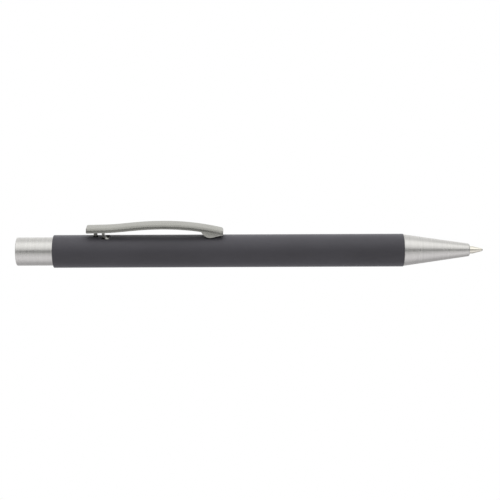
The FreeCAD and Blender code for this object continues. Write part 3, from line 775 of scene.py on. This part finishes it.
def build_legs():
    """A straight rear leg, and a hook bent from strip whose toe lies under the barrel wall."""
    root = top_height(REAR_LEG[0]) - CLIP_THICKNESS / 2
    rear = [(REAR_LEG[0], LEG_FOOT), (REAR_LEG[1], LEG_FOOT), (REAR_LEG[1], root), (REAR_LEG[0], root)]
    outer = HOOK_BEND + HOOK_THICKNESS
    centre = (HOOK_START + outer, TOE_TOP + HOOK_BEND)
    hook = [
        (HOOK_START, root),
        *arc_points(centre, outer, math.pi, 1.5 * math.pi, 14),
        (TOE_END, TOE_TOP - HOOK_THICKNESS),
        (TOE_END, TOE_TOP),
        *arc_points(centre, HOOK_BEND, 1.5 * math.pi, math.pi, 14),
        (HOOK_START + HOOK_THICKNESS, root),
    ]
    return [
        prism("rear_leg", rear, REAR_LEG_WIDTH / 2, CLIP_RIM_BEVEL, LEG_LEAN),
        prism("hook", hook, TOE_WIDTH / 2, CLIP_RIM_BEVEL, -LEG_LEAN),
    ]


def build_clip():
    clip = build_strip()
    combine(clip, [build_pad(), *build_legs()], "UNION")
    soften(clip, 40)
    finish_piece(clip, "clip", "clip_strip", SATIN_NICKEL)


# ---------------------------------------------------------------- pieces kept as the CAD has them

KEPT = {
    "thread_bush": BRASS,
    "click_guide": WHITE_ACETAL,
    "plunger": BLACK_ACETAL,
    "rotor": BLUE_ACETAL,
    "refill_crown": PLUG_PLASTIC,
    "refill_tube": REFILL_STEEL,
    "ink_column": INK,
    "ink_follower": GREASE,
}


def dress_kept_nodes():
    for node, material in KEPT.items():
        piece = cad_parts[node]
        piece.data.materials.clear()
        piece.data.materials.append(material)


build_barrel()
build_button()
build_nose()
build_point()
build_spring()
build_clip()
dress_kept_nodes()

# ---------------------------------------------------------------- stage, light and camera

PEN_MIDDLE = (BUTTON_REAR + BALL_FRONT) / 2
CAMERA_ELEVATION = 22.0
CAMERA_DISTANCE = 0.390
CAMERA_ROLL = 0.224
SENSOR = 36.0
FRAME_WIDTH = 152.6 * MM
FLOOR_HEIGHT = -0.075
FLOOR_HALF = 3.0
FLOOR_GRAIN = 0.02
AIM_SHIFT = 0.21 * MM
COOL = (0.995, 0.98, 1.0)
WARM = (1.0, 0.995, 0.975)

# (metres behind the pen, level) across the floor: painted shade, darkest in a band under and just behind the
# pen
FLOOR_SHADE_STOPS = (
    (-0.50, 0.80), (-0.10, 0.79), (-0.04, 0.62), (-0.01, 0.42), (0.10, 0.42), (0.24, 0.70), (0.50, 0.82),
)

# (degrees, level) round the pen's axis: 0 is level on the camera's side, 90 overhead, 180 level behind
STUDIO_STOPS = (
    (-180, 0.60), (-2, 0.74), (8, 0.74), (14, 0.18), (30, 0.18), (37, 1.00), (56, 1.06), (66, 1.32),
    (96, 1.32), (108, 0.88), (132, 0.86), (150, 1.00), (180, 1.12),
)

# The studio dims toward both ends of the pen, which draws a thin darker line round every end rim.
END_FADE = {"From Min": 0.60, "From Max": 0.85, "To Min": 1.0, "To Max": 0.42}

LIGHT_SIZE = (0.8, 0.3)
LIGHT_POWER = 1.8
LIGHT_BEHIND = 0.10
LIGHT_HEIGHT = 0.50


def build_floor():
    """One broad sheet: plain white to the camera, pale to all other rays, with a painted shade band under and
    just behind the pen that only reflections and bounce light see.
    """
    shader = Shader("pale_sheet")
    split = shader.add("ShaderNodeSeparateXYZ")
    shader.join(shader.place, "Object", split, "Vector")
    shade_band = shader.levels((split, "Y"), FLOOR_SHADE_STOPS, COOL)
    fibre = shader.spread(shader.noise(FLOOR_GRAIN), 0.97, 1.0)
    shader.feed(shader.mix_colours("MULTIPLY", shade_band, fibre), "Base Color")
    shader.set(Roughness=0.9, Specular_IOR_Level=0.1)
    white = shader.add("ShaderNodeEmission")
    choice = shader.split_by_camera((shader.surface, "BSDF"), (white, "Emission"))
    shader.join(*choice, shader.output, "Surface")
    turns = ((-1, -1), (1, -1), (1, 1), (-1, 1))
    corners = [(x * FLOOR_HALF, y * FLOOR_HALF, FLOOR_HEIGHT) for x, y in turns]
    floor = new_mesh_object("floor", corners, [[0, 1, 2, 3]])
    floor.data.materials.append(shader.material)


def build_world():
    """A pale studio round the pen's axis: softbox overhead, light walls, a dark gap at the camera's height.

    The camera itself sees plain white beyond the floor."""
    world = bpy.data.worlds.new("studio")
    world.use_nodes = True
    bpy.context.scene.world = world
    studio = Nodes(world.node_tree)
    place = studio.add("ShaderNodeTexCoord")
    split = studio.add("ShaderNodeSeparateXYZ")
    studio.join(place, "Generated", split, "Vector")
    toward_camera = studio.math("MULTIPLY", (split, "Y"), -1.0)
    turn = studio.math("ARCTAN2", (split, "Z"), toward_camera)
    stops = [(math.radians(degrees), level) for degrees, level in STUDIO_STOPS]
    lighting = studio.add("ShaderNodeBackground")
    studio.join(*studio.levels(turn, stops, WARM), lighting, "Color")
    ends = studio.add("ShaderNodeMapRange", END_FADE)
    studio.join(*studio.math("ABSOLUTE", (split, "X"), 0.0), ends, "Value")
    studio.join(ends, "Result", lighting, "Strength")
    white = studio.add("ShaderNodeBackground", {"Color": (1, 1, 1, 1)})
    choice = studio.split_by_camera((lighting, "Background"), (white, "Background"))
    studio.join(*choice, studio.add("ShaderNodeOutputWorld"), "Surface")


def build_overhead_light():
    """A wide soft light over the pen: it brightens the matt barrel and casts the clip's soft shadow on it."""
    data = bpy.data.lights.new("overhead", "AREA")
    data.shape = "RECTANGLE"
    data.size, data.size_y = LIGHT_SIZE
    data.energy = LIGHT_POWER
    light = bpy.data.objects.new("overhead", data)
    light.location = (PEN_MIDDLE, LIGHT_BEHIND, LIGHT_HEIGHT)
    light.rotation_euler = (-math.atan2(LIGHT_BEHIND, LIGHT_HEIGHT), 0, 0)
    light.visible_glossy = False
    bpy.context.scene.collection.objects.link(light)


def build_camera():
    tilt = math.radians(CAMERA_ELEVATION)
    toward = Vector((0, -math.cos(tilt), math.sin(tilt)))
    screen_up = Vector((0, math.sin(tilt), math.cos(tilt)))
    aim = Vector((PEN_MIDDLE, 0, 0)) + screen_up * AIM_SHIFT
    data = bpy.data.cameras.new("camera")
    data.sensor_width = SENSOR
    data.lens = SENSOR * CAMERA_DISTANCE / FRAME_WIDTH
    data.clip_start = 0.01
    camera = bpy.data.objects.new("camera", data)
    camera.location = aim + toward * CAMERA_DISTANCE
    facing = (-toward).to_track_quat("-Z", "Y").to_matrix()
    roll = Matrix.Rotation(math.radians(-CAMERA_ROLL), 3, "Z")
    camera.rotation_euler = (facing @ roll).to_euler()
    bpy.context.scene.collection.objects.link(camera)
    bpy.context.scene.camera = camera


build_floor()
build_world()
build_overhead_light()
build_camera()
bpy.context.scene.view_settings.view_transform = "Standard"
